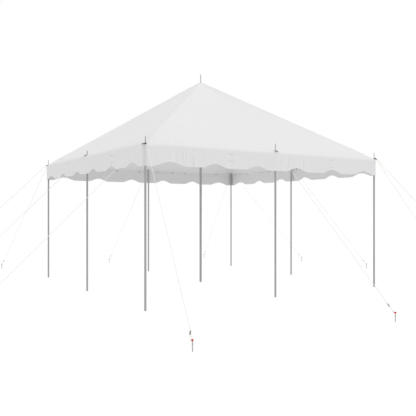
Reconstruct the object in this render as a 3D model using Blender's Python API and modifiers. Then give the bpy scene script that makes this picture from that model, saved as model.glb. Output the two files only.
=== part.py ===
"""Square pole marquee: hipped fabric roof, scalloped valance, nine poles, and roped pegs all round."""

import math

import bmesh
import bpy
from mathutils import Euler, Matrix, Vector

# Plan and heights of the canopy, in metres
SIDE = 4.572  # between the centres of two corner poles
HALF = SIDE / 2
EAVE_REACH = 0.040  # fabric past the pole centres
EAVE_HALF = HALF + EAVE_REACH
PEAK_Z = 3.8775  # top of the fabric over the centre pole
POLE_LINE_Z = 2.325  # top of the fabric over the side poles
SLOPE = (PEAK_Z - POLE_LINE_Z) / HALF
ROOF_THICK = 0.004  # measured straight down
GAP = 0.0003  # left between pieces that touch
SEAT_GAP = GAP * 1.3  # the same, measured straight down to the roof's slope
CUT_PAST = 0.2  # length of a cutter beyond what it cuts
CUT_BASE_Z = 1.9  # base of the roof's cutting pyramids, well below the eave

# Valance with a scalloped lower edge
VALANCE_THICK = 0.003
VALANCE_LOW_Z = 2.0165
ARCHES = ((0.3985, 0.390), (1.1825, 0.385), (1.945, 0.457))  # centre and width, on each half of a wall
ARCH_RISE = 0.061
ARCH_STEEPNESS = 1.27  # of the straight flanks, against rise over half width
ARCH_CROWN_POINTS = 7

# Webbing band inside the eave, with its rings
WEB_THICK = 0.0025
WEB_LOW_Z = 2.232
WEB_HIGH_Z = 2.283
RING_Z = 2.262
RING_STEP = 0.457
RING_COUNT = 10
RING_RADIUS = 0.0115
RING_WIRE = 0.0020
RING_STAND = RING_WIRE * 0.6  # from the band's face to the ring's middle, so that the two fuse
RING_STEPS = 8
RING_SIDES = 4

# Poles and the pins on their tops
SIDE_POLE_RADIUS = 0.016
SIDE_PIN_RADIUS = 0.0055
SIDE_PIN_TOP_Z = 2.420
CENTRE_POLE_RADIUS = 0.0225
CENTRE_PIN_RADIUS = 0.0070
CENTRE_PIN_TOP_Z = 4.033
PIN_CLEAR = 0.0005
PIN_SOCKET = 0.05  # length of pin inside its pole
POLE_SIDES = 20
PIN_SIDES = 12

# Guy ropes, with a sleeve at the pin and a runner above the peg
ROPE_RADIUS = 0.004
ROPE_SIDES = 8
EYE_Z = 2.348  # height of the first eye on a pin
EYE_RISE = 0.015  # from one eye to the next on a corner pin
EYE_CLEAR = 0.0004
EYE_RADIUS = SIDE_PIN_RADIUS + ROPE_RADIUS + EYE_CLEAR
EYE_STEPS = 12
EYE_SIDES = 6
SLEEVE_START = 0.020
SLEEVE_LENGTH = 0.048
SLEEVE_RADIUS = 0.0058
SLEEVE_SIDES = 10
RUNNER_FROM_PEG = 0.140
RUNNER_LENGTH = 0.053
RUNNER_WIDTH = 0.014
RUNNER_THICK = 0.010
STRAND_SPREAD = 0.0045
STRAND_RADIUS = ROPE_RADIUS * 0.97  # a little thinner, so that no faces coincide
STRAND_SIDES = 6

# Pegs, shown from the ground up
PEG_REACH = 2.340  # from pole to peg, on plan
PEG_RADIUS = 0.0055
PEG_TOP_Z = 0.122
HEAD_LOW_Z = 0.094
HEAD_RADIUS = 0.0135
HEAD_CROWN = 0.0015  # height of the domed top over its rim
HEAD_SHOULDER = (HEAD_RADIUS * 0.7, 0.0008)  # a point of the dome, as radius and height
HEAD_RIM_DROP = 0.002
PEG_STEPS = 12
WRAP_LOW_Z = 0.056
WRAP_HIGH_Z = 0.082
WRAP_TURNS = 3
WRAP_STEPS = 10
PEG_CLEAR = 0.0005

# Side poles: name, place in half sides, and its guy ropes as plan bearings in degrees from +X
SPLAY_FRONT_LEFT = 14.6
SPLAY_BACK_RIGHT = 15.0
SPLAY_BACK_LEFT = 10.8
SPLAY_FRONT_RIGHT = 3.4
SIDE_POLES = {
    "front_left": ((-1, -1), {"front": -90 - SPLAY_FRONT_LEFT, "left": 180}),
    "front_mid": ((0, -1), {"front": -90}),
    "front_right": ((1, -1), {"front": -90 + SPLAY_FRONT_RIGHT, "right": 0}),
    "right_mid": ((1, 0), {"right": 0}),
    "back_right": ((1, 1), {"back": 90 - SPLAY_BACK_RIGHT, "right": 0}),
    "back_mid": ((0, 1), {"back": 90}),
    "back_left": ((-1, 1), {"back": 90 + SPLAY_BACK_LEFT, "left": 180}),
    "left_mid": ((-1, 0), {"left": 180}),
}

# Turn of each wall about the vertical, from the front one
WALL_TURNS = {"front": 0, "right": 90, "back": 180, "left": 270}

SHARP_ANGLE = 35  # degrees between faces past which an edge stays sharp
MERGE = 0.00001  # points closer than this become one

COLOURS = {
    "roof": ((0.84, 0.84, 0.84, 1), 0.55, 0.0),
    "valance": ((0.78, 0.78, 0.78, 1), 0.55, 0.0),
    "webbing": ((0.66, 0.68, 0.71, 1), 0.80, 0.0),
    "pole": ((0.50, 0.50, 0.50, 1), 0.38, 0.9),
    "rope": ((0.86, 0.86, 0.80, 1), 0.85, 0.0),
    "peg": ((0.60, 0.12, 0.15, 1), 0.45, 0.2),
}


def clear_scene():
    for thing in list(bpy.data.objects):
        bpy.data.objects.remove(thing, do_unlink=True)


def make_collection(name):
    made = bpy.data.collections.new(name)
    bpy.context.scene.collection.children.link(made)
    return made


def make_material(name, kind):
    colour, roughness, metallic = COLOURS[kind]
    made = bpy.data.materials.new(name)
    made.use_nodes = True
    shader = made.node_tree.nodes["Principled BSDF"]
    shader.inputs["Base Color"].default_value = colour
    shader.inputs["Roughness"].default_value = roughness
    shader.inputs["Metallic"].default_value = metallic
    return made


def add_object(name, mesh, collection):
    made = bpy.data.objects.new(name, mesh)
    collection.objects.link(made)
    return made


def add_piece(name, mesh, kind):
    """A named sub-part with its own material."""
    mesh.materials.clear()
    mesh.materials.append(make_material(name, kind))
    mesh.shade_smooth()
    mesh.set_sharp_from_angle(angle=math.radians(SHARP_ANGLE))
    return add_object(name, mesh, parts)


def add_cutter(name, mesh):
    """A shape that only cuts or joins, kept out of the model."""
    made = add_object(name, mesh, cutters)
    made.hide_render = True
    made.display_type = "WIRE"
    return made


def mesh_of(build):
    """A mesh from a function that fills a bmesh."""
    shape = bmesh.new()
    build(shape)
    bmesh.ops.recalc_face_normals(shape, faces=shape.faces)
    mesh = bpy.data.meshes.new("shape")
    shape.to_mesh(mesh)
    shape.free()
    return mesh


def cone_mesh(sides, low_radius, high_radius, length, place):
    return mesh_of(
        lambda shape: bmesh.ops.create_cone(
            shape,
            cap_ends=True,
            segments=sides,
            radius1=low_radius,
            radius2=high_radius,
            depth=length,
            matrix=place,
        )
    )


def box_mesh(size, place):
    stretch = Matrix.Diagonal((*size, 1))
    return mesh_of(lambda shape: bmesh.ops.create_cube(shape, size=1, matrix=place @ stretch))


def upright(low_z, high_z, x=0.0, y=0.0):
    return Matrix.Translation((x, y, (low_z + high_z) / 2))


def along(start, end):
    """A frame half way between two points, with its Z axis along them and its X axis level."""
    way = (end - start).normalized()
    side = Vector((0, 0, 1)).cross(way).normalized()
    turn = Matrix((side, way.cross(side), way)).transposed().to_4x4()
    return Matrix.Translation((start + end) / 2) @ turn


def rod_mesh(start, end, radius, sides):
    return cone_mesh(sides, radius, radius, (end - start).length, along(start, end))


def turned_mesh(profile, steps, closed):
    """Radius and height points turned about the vertical, from a Screw modifier."""
    line = bpy.data.meshes.new("profile")
    edges = [(i, i + 1) for i in range(len(profile) - 1)]
    if closed:
        edges.append((len(profile) - 1, 0))
    line.from_pydata([(radius, 0, height) for radius, height in profile], edges, [])
    carrier = add_object("turned", line, cutters)
    screw = carrier.modifiers.new("Screw", "SCREW")
    screw.steps = steps
    screw.render_steps = steps
    screw.use_merge_vertices = True
    screw.merge_threshold = MERGE
    return applied(carrier)


def applied(thing):
    """The evaluated mesh of an object or curve, as a mesh of its own, and the object removed."""
    graph = bpy.context.evaluated_depsgraph_get()
    mesh = bpy.data.meshes.new_from_object(thing.evaluated_get(graph), depsgraph=graph)
    mesh.transform(thing.matrix_world)
    bpy.data.objects.remove(thing, do_unlink=True)
    shape = bmesh.new()
    shape.from_mesh(mesh)
    bmesh.ops.remove_doubles(shape, verts=shape.verts, dist=MERGE)
    bmesh.ops.recalc_face_normals(shape, faces=shape.faces)
    shape.to_mesh(mesh)
    shape.free()
    return mesh


def slab_mesh(outline, thick, turn=(0, 0, 0), place=(0, 0, 0)):
    """A closed plate from a flat outline, centred on its own plane."""
    curve = bpy.data.curves.new("outline", "CURVE")
    curve.dimensions = "2D"
    curve.fill_mode = "BOTH"
    curve.extrude = thick / 2
    line = curve.splines.new("POLY")
    line.points.add(len(outline) - 1)
    for point, (x, y) in zip(line.points, outline):
        point.co = (x, y, 0, 1)
    line.use_cyclic_u = True
    carrier = add_object("slab", curve, cutters)
    carrier.matrix_world = Matrix.Translation(place) @ Euler(turn).to_matrix().to_4x4()
    bpy.context.view_layer.update()
    return applied(carrier)


def torus_mesh(radius, wire, steps, sides, place):
    profile = [
        (radius + wire * math.cos(math.tau * i / sides), wire * math.sin(math.tau * i / sides))
        for i in range(sides)
    ]
    mesh = turned_mesh(profile, steps, closed=True)
    mesh.transform(place)
    return mesh


def change(thing, tool, operation):
    """A Boolean between an object and a cutter."""
    cut = thing.modifiers.new(operation.title(), "BOOLEAN")
    cut.operation = operation
    cut.solver = "EXACT"
    cut.object = tool


def join(thing, *tools):
    for tool in tools:
        change(thing, tool, "UNION")


def pyramid_mesh(drop):
    """The space under the roof plane lowered by drop, with its base well below the eave."""
    height = PEAK_Z - drop - CUT_BASE_Z
    corner = height / SLOPE * math.sqrt(2)
    place = upright(CUT_BASE_Z, CUT_BASE_Z + height) @ Matrix.Rotation(math.radians(45), 4, "Z")
    return cone_mesh(4, corner, 0, height, place)


def wall_sector_mesh(turn):
    """The quarter of the plan that one wall owns, as a tall prism that stops at the eave."""
    tip = -GAP / math.sqrt(2)
    outline = [(0, tip), (-EAVE_HALF - tip, -EAVE_HALF), (EAVE_HALF + tip, -EAVE_HALF)]
    height = PEAK_Z + CUT_PAST
    return slab_mesh(outline, height, (0, 0, math.radians(turn)), (0, 0, height / 2))


def pole_places():
    return {name: Vector((x * HALF, y * HALF, 0)) for name, ((x, y), _) in SIDE_POLES.items()}


def make_roof():
    """Four sloping panels, mitred at the hips and holed for the pins."""
    top = add_cutter("roof_top", pyramid_mesh(0))
    under = add_cutter("roof_under", pyramid_mesh(ROOF_THICK))
    hole = SIDE_PIN_RADIUS + PIN_CLEAR
    holes = [
        add_cutter(
            "hole_" + name,
            cone_mesh(PIN_SIDES, hole, hole, CUT_PAST, upright(POLE_LINE_Z, POLE_LINE_Z, at.x, at.y)),
        )
        for name, at in pole_places().items()
    ]
    hole = CENTRE_PIN_RADIUS + PIN_CLEAR
    middle = cone_mesh(PIN_SIDES, hole, hole, CUT_PAST, upright(PEAK_Z, PEAK_Z))
    holes.append(add_cutter("hole_centre", middle))
    for wall, turn in WALL_TURNS.items():
        panel = add_piece("roof_panel_" + wall, wall_sector_mesh(turn), "roof")
        change(panel, top, "INTERSECT")
        change(panel, under, "DIFFERENCE")
        for tool in holes:
            if wall in tool.name or tool.name == "hole_centre":
                change(panel, tool, "DIFFERENCE")


def arch_points(middle, width):
    """One arch of the lower edge: two straight flanks and a round crown."""
    half = width / 2
    flank = math.atan(ARCH_STEEPNESS * ARCH_RISE / half)
    radius = (half * math.tan(flank) - ARCH_RISE) / (1 / math.cos(flank) - 1)
    centre_z = VALANCE_LOW_Z + ARCH_RISE - radius
    crown = []
    for i in range(ARCH_CROWN_POINTS):
        turn = flank * (2 * i / (ARCH_CROWN_POINTS - 1) - 1)
        crown.append((middle + radius * math.sin(turn), centre_z + radius * math.cos(turn)))
    return [(middle - half, VALANCE_LOW_Z), *crown, (middle + half, VALANCE_LOW_Z)]


def valance_outline(end):
    """The flat outline of one wall's valance, as x across and z up."""
    top_z = PEAK_Z - SLOPE * EAVE_HALF - ROOF_THICK - SEAT_GAP
    points = [(-end, top_z), (-end, VALANCE_LOW_Z)]
    for middle, width in sorted([(way * x, width) for x, width in ARCHES for way in (-1, 1)]):
        points += arch_points(middle, width)
    points += [(end, VALANCE_LOW_Z), (end, top_z)]
    return points


def make_valances():
    """Four hanging walls with arched lower edges; the side ones fit between the front and back ones."""
    for wall, turn in WALL_TURNS.items():
        end = EAVE_HALF if wall in ("front", "back") else EAVE_HALF - VALANCE_THICK - GAP
        middle_y = -EAVE_HALF + VALANCE_THICK / 2
        stand = (math.radians(90), 0, 0)
        sheet = slab_mesh(valance_outline(end), VALANCE_THICK, stand, (0, middle_y, 0))
        sheet.transform(Matrix.Rotation(math.radians(turn), 4, "Z"))
        add_piece("valance_" + wall, sheet, "valance")


def make_webbing():
    """A flat band inside each valance, with a row of rings fused to it."""
    inner = EAVE_HALF - VALANCE_THICK - GAP - WEB_THICK
    length = 2 * (inner - GAP)
    for wall, turn in WALL_TURNS.items():
        spin = Matrix.Rotation(math.radians(turn), 4, "Z")
        middle = Matrix.Translation((0, -inner - WEB_THICK / 2, (WEB_LOW_Z + WEB_HIGH_Z) / 2))
        band = box_mesh((length, WEB_THICK, WEB_HIGH_Z - WEB_LOW_Z), spin @ middle)
        piece = add_piece("eave_webbing_" + wall, band, "webbing")
        for i in range(RING_COUNT):
            x = (i - (RING_COUNT - 1) / 2) * RING_STEP
            place = Matrix.Translation((x, -inner + RING_STAND, RING_Z))
            stand = Matrix.Rotation(math.radians(90), 4, "X")
            ring = torus_mesh(RING_RADIUS, RING_WIRE, RING_STEPS, RING_SIDES, spin @ place @ stand)
            join(piece, add_cutter(f"ring_{wall}_{i}", ring))


def make_pole(name, at, radius, pin_radius, pin_top_z):
    """A pole seated under the fabric, with its pin standing through it."""
    reach = max(abs(at.x), abs(at.y)) + radius
    top_z = PEAK_Z - ROOF_THICK - SLOPE * reach - SEAT_GAP
    tube = cone_mesh(POLE_SIDES, radius, radius, top_z, upright(0, top_z, at.x, at.y))
    low_z = top_z - PIN_SOCKET
    pin_place = upright(low_z, pin_top_z, at.x, at.y)
    pin = cone_mesh(PIN_SIDES, pin_radius, pin_radius, pin_top_z - low_z, pin_place)
    join(add_piece(name, tube, "pole"), add_cutter("pin_" + name, pin))


def make_poles():
    make_pole("centre_pole", Vector((0, 0, 0)), CENTRE_POLE_RADIUS, CENTRE_PIN_RADIUS, CENTRE_PIN_TOP_Z)
    for name, at in pole_places().items():
        make_pole("side_pole_" + name, at, SIDE_POLE_RADIUS, SIDE_PIN_RADIUS, SIDE_PIN_TOP_Z)


def peg_mesh(at):
    """A round shaft that flares into a head, turned as one profile."""
    profile = [
        (0, PEG_TOP_Z + HEAD_CROWN),
        (HEAD_SHOULDER[0], PEG_TOP_Z + HEAD_SHOULDER[1]),
        (HEAD_RADIUS, PEG_TOP_Z - HEAD_RIM_DROP),
        (PEG_RADIUS, HEAD_LOW_Z),
        (PEG_RADIUS, 0),
        (0, 0),
    ]
    mesh = turned_mesh(profile, PEG_STEPS, closed=False)
    mesh.transform(Matrix.Translation((at.x, at.y, 0)))
    return mesh


def wrap_mesh(at):
    """The turns of rope round a peg, as one ridged sleeve."""
    inner = PEG_RADIUS + PEG_CLEAR
    outer = inner + 2 * ROPE_RADIUS
    turn = (WRAP_HIGH_Z - WRAP_LOW_Z) / WRAP_TURNS
    profile = [(inner, WRAP_HIGH_Z)]
    for i in range(WRAP_TURNS):
        middle = WRAP_HIGH_Z - turn * (i + 0.5)
        profile.append((outer, middle))
        if i < WRAP_TURNS - 1:
            profile.append((outer - ROPE_RADIUS / 2, middle - turn / 2))
    profile.append((inner, WRAP_LOW_Z))
    mesh = turned_mesh(profile, WRAP_STEPS, closed=True)
    mesh.transform(Matrix.Translation((at.x, at.y, 0)))
    return mesh


def make_guy(name, pole_at, bearing, eye_z):
    """One guy rope from its eye on the pin, through its runner, to its turns round the peg, and the peg."""
    outward = Vector((math.cos(math.radians(bearing)), math.sin(math.radians(bearing)), 0))
    side = Vector((0, 0, 1)).cross(outward)
    peg_at = pole_at + outward * PEG_REACH
    add_piece("peg_" + name, peg_mesh(peg_at), "peg")
    high = pole_at + outward * EYE_RADIUS + Vector((0, 0, eye_z))
    low = peg_at - outward * (PEG_RADIUS + ROPE_RADIUS) + Vector((0, 0, WRAP_HIGH_Z - ROPE_RADIUS))
    down = (low - high).normalized()
    runner_at = low - down * RUNNER_FROM_PEG
    rope = add_piece("guy_rope_" + name, rod_mesh(high, runner_at, ROPE_RADIUS, ROPE_SIDES), "rope")
    eye_place = upright(eye_z, eye_z, pole_at.x, pole_at.y)
    eye = torus_mesh(EYE_RADIUS, ROPE_RADIUS, EYE_STEPS, EYE_SIDES, eye_place)
    sleeve_at = high + down * SLEEVE_START
    sleeve = rod_mesh(sleeve_at, sleeve_at + down * SLEEVE_LENGTH, SLEEVE_RADIUS, SLEEVE_SIDES)
    half_runner = down * RUNNER_LENGTH / 2
    plate = along(runner_at - half_runner, runner_at + half_runner)
    runner = box_mesh((RUNNER_WIDTH, RUNNER_THICK, RUNNER_LENGTH), plate)
    tools = [eye, sleeve, runner, wrap_mesh(peg_at)]
    for way in (-1, 1):
        near = low + outward * (PEG_RADIUS + ROPE_RADIUS) + side * way * (PEG_RADIUS + ROPE_RADIUS)
        far = runner_at + side * way * STRAND_SPREAD
        tools.append(rod_mesh(far, near, STRAND_RADIUS, STRAND_SIDES))
    join(rope, *(add_cutter(f"{name}_{i}", mesh) for i, mesh in enumerate(tools)))


def make_guys():
    places = pole_places()
    for name, (_, ropes) in SIDE_POLES.items():
        for i, (wall, bearing) in enumerate(ropes.items()):
            label = name if len(ropes) == 1 else f"{name}_to_{wall}"
            make_guy(label, places[name], bearing, EYE_Z + EYE_RISE * i)


clear_scene()
parts = make_collection("pole_marquee")
cutters = make_collection("cutters")
make_roof()
make_valances()
make_webbing()
make_poles()
make_guys()
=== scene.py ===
# Square pole marquee: the looks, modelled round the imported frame
# Metres, +Z up, +Y to the back wall, the centre pole's foot at the origin

import random
from math import atan, copysign, cos, exp, hypot, pi, radians, sin, sqrt, tan, tau

import bpy
from mathutils import Matrix, Vector, noise


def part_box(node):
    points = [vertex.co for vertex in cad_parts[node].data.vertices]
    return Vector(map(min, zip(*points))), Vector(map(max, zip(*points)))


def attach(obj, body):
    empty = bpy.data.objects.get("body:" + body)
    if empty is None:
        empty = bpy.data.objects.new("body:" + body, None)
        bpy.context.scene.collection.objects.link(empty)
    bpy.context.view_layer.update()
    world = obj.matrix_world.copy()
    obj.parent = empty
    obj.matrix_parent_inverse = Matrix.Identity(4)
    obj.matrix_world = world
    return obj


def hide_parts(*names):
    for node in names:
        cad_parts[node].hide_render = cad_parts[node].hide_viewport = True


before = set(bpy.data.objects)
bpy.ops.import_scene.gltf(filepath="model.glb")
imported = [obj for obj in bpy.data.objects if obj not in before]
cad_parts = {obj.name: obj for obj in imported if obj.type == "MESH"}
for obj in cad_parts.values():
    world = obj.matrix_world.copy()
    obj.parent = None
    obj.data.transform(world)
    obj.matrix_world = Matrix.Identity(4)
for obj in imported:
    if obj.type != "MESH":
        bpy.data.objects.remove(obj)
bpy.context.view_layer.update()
print("frame loaded:", len(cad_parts), "nodes")

# Sizes read from the frame
roofLow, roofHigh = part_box("roof_panel_front")
eaveHalf = roofHigh.x
peakZ = roofHigh.z
roofThick = 0.004
slope = (peakZ - roofLow.z - roofThick) / eaveHalf
eaveZ = peakZ - slope * eaveHalf
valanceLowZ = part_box("valance_front")[0].z
wallNames = ["front", "right", "back", "left"]
up = Vector((0, 0, 1))
upright = (radians(90), 0, 0)


def standOf(node):
    # the middle of a node's box, on the ground
    low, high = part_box(node)
    return Vector(((low.x + high.x) / 2, (low.y + high.y) / 2, 0))


def namesAfter(start):
    return sorted(name[len(start):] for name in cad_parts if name.startswith(start))


# Canopy sizes, used by the pieces that meet it
canopy = {
    "eaveRadius": 0.05,  # of the fold from roof to valance
    "cornerRadius": 0.062,  # of the valance round a corner pole
    "hipRadius": 0.055,
    "hipLift": 1.15,  # share of the height lost to the rounding that the panels make up
    "hipGrow": 0.6,  # from the eave up to the full hip radius
    "hipPeakShare": 0.5,  # hip radius over half width near the peak
    "hipStart": 0.065,  # share of the climb that the rise takes to begin
    "peakHole": 0.011,
    "peakCrowd": 1.15,  # brings the rows closer near the peak
    "thick": 0.0012, "panelSag": 0.012,
    "eaveDroop": 0.001,  # between two poles
    "droopReach": 0.06,  # share of the climb
    "closeStep": 0.01,  # between columns where folds and creases are
    "plainStep": 0.04, "cornerSteps": 6, "hemHeights": (0.0, 0.006, 0.018),
    "valanceRows": 28, "eaveRows": 6, "roofRows": 18,
    "arches": ((0.3985, 0.39), (1.1825, 0.385), (1.945, 0.457)),  # middle and width, mirrored
    "archRise": 0.061, "archSteepness": 1.27, "archSoften": 0.012,
    "archShift": {"front": 0.022, "left": -0.02},  # the cloth has crept away from the near corner
    "archGrow": {"front": 0.02},
    "footDrop": {"front": (0.011, 0.0), "left": (0.0, 0.011)},  # of the hem, at a wall's ends
}
settled = {
    "corner": Vector((-2.286, -2.286)), "drop": 0.012, "reach": 0.28, "above": 1.9,
    "lift": 0.013,  # of the left eave between its corners
    "liftFrom": 1.9, "liftReach": 0.35, "liftEnds": 0.22, "liftFoot": 2.04,
}


def clamp(value):
    return max(0.0, min(1.0, value))


def smoothStep(value):
    value = clamp(value)
    return value * value * (3 - 2 * value)


def sag(x, y):
    # how far the near corner has settled
    away = (Vector((x, y)) - settled["corner"]).length / settled["reach"]
    return settled["drop"] * exp(-away * away)


def lift(x, y):
    # how far the left eave stands above the others
    s = settled
    near = smoothStep((-x - s["liftFrom"]) / s["liftReach"])
    return s["lift"] * near * smoothStep((eaveHalf - abs(y)) / s["liftEnds"])


def settleCloth(piece):
    s = settled
    for vertex in piece.data.vertices:
        x, y, z = vertex.co
        if z > s["above"]:
            share = clamp((z - s["liftFoot"]) / (eaveZ - s["liftFoot"]))
            vertex.co.z = z - sag(x, y) + lift(x, y) * share


def fabricTop(x, y):
    # height of the roof cloth over a point on the line of the side poles
    corner = canopy["cornerRadius"]
    low, half = sorted((abs(x), abs(y)))
    if low > half - corner:
        half = (hypot(x, y) - corner) / sqrt(2) + corner
    return peakZ - slope * half - sag(x, y) + lift(x, y)


# Small modelling helpers


def setAll(thing, values):
    for key, value in values.items():
        setattr(thing, key, value)


def leaveEdit():
    bpy.ops.object.mode_set(mode="OBJECT")


def deselectAll():
    if bpy.context.object and bpy.context.object.mode != "OBJECT":
        leaveEdit()
    bpy.ops.object.select_all(action="DESELECT")


def add(operator, **settings):
    # a new object, made with nothing else selected
    deselectAll()
    operator(**settings)
    return bpy.context.object


def pick(*pieces):
    deselectAll()
    for piece in pieces:
        piece.select_set(True)
    bpy.context.view_layer.objects.active = pieces[0]


def editAll(piece, kind="VERT"):
    pick(piece)
    bpy.ops.object.mode_set(mode="EDIT")
    bpy.ops.mesh.select_mode(type=kind)
    bpy.ops.mesh.select_all(action="SELECT")


def editOnly(piece, kind, wanted):
    # edit mode with only the faces or edges that pass a test selected
    editAll(piece, kind)
    bpy.ops.mesh.select_all(action="DESELECT")
    leaveEdit()
    for row in piece.data.polygons if kind == "FACE" else piece.data.edges:
        row.select = wanted(row)
    bpy.ops.object.mode_set(mode="EDIT")


def endEdit():
    # all faces turned outward, then back to object mode
    bpy.ops.mesh.select_all(action="SELECT")
    bpy.ops.mesh.normals_make_consistent(inside=False)
    leaveEdit()


def modify(piece, kind, **settings):
    # a modifier, set and applied
    made = piece.modifiers.new(kind, kind)
    setAll(made, settings)
    pick(piece)
    bpy.ops.object.modifier_apply(modifier=made.name)
    return piece


def settle(piece, name, **place):
    # the place goes into the mesh and the object to the origin
    setAll(piece, place)
    pick(piece)
    bpy.ops.object.transform_apply(location=True, rotation=True, scale=True)
    piece.name = piece.data.name = name
    return piece


def joinPieces(pieces, name):
    pick(*pieces)
    bpy.ops.object.join()
    return settle(bpy.context.object, name)


def copyOf(piece):
    pick(piece)
    bpy.ops.object.duplicate()
    return bpy.context.object


def remove(piece):
    bpy.data.objects.remove(piece, do_unlink=True)


def smooth(piece, angle):
    pick(piece)
    bpy.ops.object.shade_smooth_by_angle(angle=radians(angle))


def makeBox(name, size, at=(0, 0, 0)):
    return settle(add(bpy.ops.mesh.primitive_cube_add, size=1, location=at), name, scale=size)


def ringShape(name, rings, sides):
    # a closed round shape raised from a disc, ring by ring, as (radius, height)
    radius, height = rings[0]
    disc = bpy.ops.mesh.primitive_circle_add
    piece = add(disc, vertices=sides, radius=radius, fill_type="NGON", location=(0, 0, height))
    editAll(piece, "FACE")
    for (oldRadius, oldHeight), (newRadius, newHeight) in zip(rings, rings[1:]):
        rise = {"value": (0, 0, newHeight - oldHeight)}
        bpy.ops.mesh.extrude_region_move(TRANSFORM_OT_translate=rise)
        grow = newRadius / oldRadius
        bpy.ops.transform.resize(value=(grow, grow, 1), center_override=(0, 0, newHeight))
    endEdit()
    return settle(piece, name)


def profile(radius, base, points):
    return [(radius * share, base + over) for share, over in points]


def placeAlong(piece, at, way, side):
    # stands a piece made along +Z on a new axis, with its X axis to the side
    stem, across = way.normalized(), side.normalized()
    turn = Matrix((across, stem.cross(across), stem)).transposed().to_4x4()
    settle(piece, piece.name, matrix_world=Matrix.Translation(at) @ turn)


def hand(piece, nodes):
    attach(piece, "root")
    if nodes:
        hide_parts(*nodes)


def finishPiece(piece, material, nodes):
    piece.data.materials.clear()
    piece.data.materials.append(materials[material])
    hand(piece, nodes)


# Shader helpers


def fill(node, values):
    # another node's output is linked, a plain value or colour is set
    for key, value in values.items():
        socket = node.inputs[key]
        if isinstance(value, bpy.types.NodeSocket):
            node.id_data.links.new(value, socket)
        else:
            socket.default_value = (*value, 1) if socket.type == "RGBA" else value


def addNode(tree, kind, values=None, **settings):
    made = tree.nodes.new("ShaderNode" + kind)
    setAll(made, settings)
    fill(made, values or {})
    return made


def between(amount, low=0.0, high=1.0, start=0.3, end=0.7, kind="LINEAR"):
    values = {"Value": amount, "From Min": start, "From Max": end, "To Min": low, "To Max": high}
    return addNode(amount.id_data, "MapRange", values, interpolation_type=kind).outputs["Result"]


def mathNode(operation, first, second):
    return addNode(first.id_data, "Math", {0: first, 1: second}, operation=operation).outputs[0]


def heightIn(place):
    return addNode(place.id_data, "SeparateXYZ", {0: place}).outputs["Z"]


materials = {}


def startMaterial(name, values):
    # a named material, with its shader and the piece's own coordinates
    materials[name] = made = bpy.data.materials.new(name)
    made.use_nodes = True
    shader = made.node_tree.nodes["Principled BSDF"]
    fill(shader, values)
    return shader, addNode(made.node_tree, "TexCoord").outputs["Object"]


# Camera and light

cameraSettings = {
    "place": (-5.6505, -9.257, 1.3747),
    "heading": 32.366,  # degrees from +Y towards +X
    "data": {"lens": 48.398, "sensor_width": 36.0, "shift_x": -0.005, "shift_y": 0.0071, "clip_end": 600.0},
}

studio = {
    "backdrop": 1.0,  # what the camera sees behind everything
    "skyTop": 1.145, "skyFloor": 0.817,
    "skyFade": 0.35,  # above and below the horizon
    "dimSide": (-0.64, -0.64, 0.42),
    "dimLoss": 0.517,  # what is taken off the sky on that side
    "dimFrom": 0.35,
    "lamps": {"rightLamp": ((0.72, -0.62, 0.31), 0.478), "lowLamp": ((-0.9, 0.2, -0.25), 0.174)},
    "lampAngle": 35, "lampAway": 20, "floorHalf": 300.0,
    "floorColour": (0.05, 0.05, 0.05),
    "floorGlow": 0.96,  # a lit backdrop, so its own colour only carries a faint shade
    "floorRough": 0.9,
}
white = (1, 1, 1)


def makeCamera():
    s = cameraSettings
    turn = (radians(90), 0, radians(-s["heading"]))
    camera = add(bpy.ops.object.camera_add, location=s["place"], rotation=turn)
    camera.name = "camera"
    setAll(camera.data, s["data"])
    bpy.context.scene.camera = camera


def makeSky():
    # a soft white dome that is dimmer below and on the camera's side
    s = studio
    world = bpy.data.worlds.new("studio")
    bpy.context.scene.world = world
    world.use_nodes = True
    tree = world.node_tree
    place = addNode(tree, "TexCoord").outputs["Generated"]
    fade = s["skyFade"]
    dome = between(heightIn(place), s["skyFloor"], s["skyTop"], -fade, fade, "SMOOTHSTEP")
    ways = {0: place, 1: Vector(s["dimSide"]).normalized()}
    facing = addNode(tree, "VectorMath", ways, operation="DOT_PRODUCT").outputs["Value"]
    dim = between(facing, 0.0, s["dimLoss"], s["dimFrom"], 1.0, "SMOOTHSTEP")
    light = tree.nodes["Background"]
    fill(light, {"Color": white, "Strength": mathNode("SUBTRACT", dome, dim)})
    seen = addNode(tree, "Background", {"Color": white, "Strength": s["backdrop"]})
    isSeen = addNode(tree, "LightPath").outputs["Is Camera Ray"]
    mix = addNode(tree, "MixShader", {0: isSeen, 1: light.outputs[0], 2: seen.outputs[0]})
    fill(tree.nodes["World Output"], {"Surface": mix.outputs[0]})


def makeLamps():
    for name, (way, strength) in studio["lamps"].items():
        lamp = add(bpy.ops.object.light_add, type="SUN", location=Vector(way) * studio["lampAway"])
        turn = Vector(way).to_track_quat("Z", "Y")
        setAll(lamp, {"name": name, "rotation_mode": "QUATERNION", "rotation_quaternion": turn})
        setAll(lamp.data, {"energy": strength, "angle": radians(studio["lampAngle"])})


def makeFloor():
    s = studio
    floor = settle(add(bpy.ops.mesh.primitive_plane_add, size=2 * s["floorHalf"]), "floor")
    values = {"Base Color": s["floorColour"], "Roughness": s["floorRough"], "Specular IOR Level": 0.0}
    values |= {"Emission Color": white, "Emission Strength": s["floorGlow"]}
    startMaterial("paleFloor", values)
    floor.data.materials.append(materials["paleFloor"])
    setAll(floor, {"visible_diffuse": False, "visible_glossy": False, "visible_shadow": False})


bpy.context.scene.view_settings.view_transform = "Standard"
makeCamera()
makeSky()
makeLamps()
makeFloor()
print("camera, light and floor made")


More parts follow.
